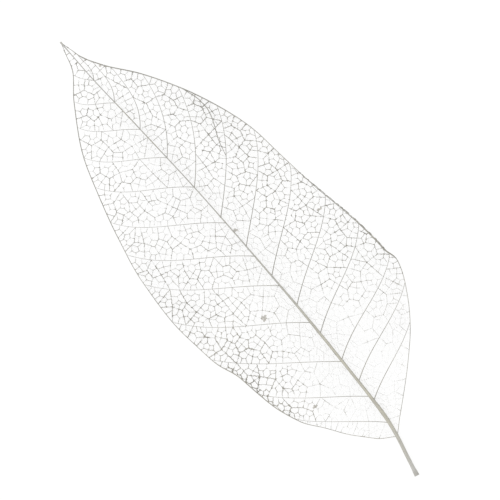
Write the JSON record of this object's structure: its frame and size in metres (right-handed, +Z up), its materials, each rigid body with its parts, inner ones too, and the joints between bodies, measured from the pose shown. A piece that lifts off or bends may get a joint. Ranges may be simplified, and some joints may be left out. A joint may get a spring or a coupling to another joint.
{
  "type": "skeleton leaf",
  "caption": "Dried elliptic leaf stripped to its bare vein net, with a midrib, side veins, a short stalk and gently rolled edges, lying flat.",
  "frame": {"origin": "centre of the bounding box's underside, on the surface that the leaf lies on", "axes": "+Y along the leaf from the stalk to the tip, +X across the blade, +Z up, away from the surface"},
  "size_m": [0.0552, 0.1457, 0.0056],
  "materials": {
    "bleached_vein": "matte"
  },
  "bodies": {
    "root": {"skeleton_leaf": "bleached_vein"}
  },
  "joints": []
}
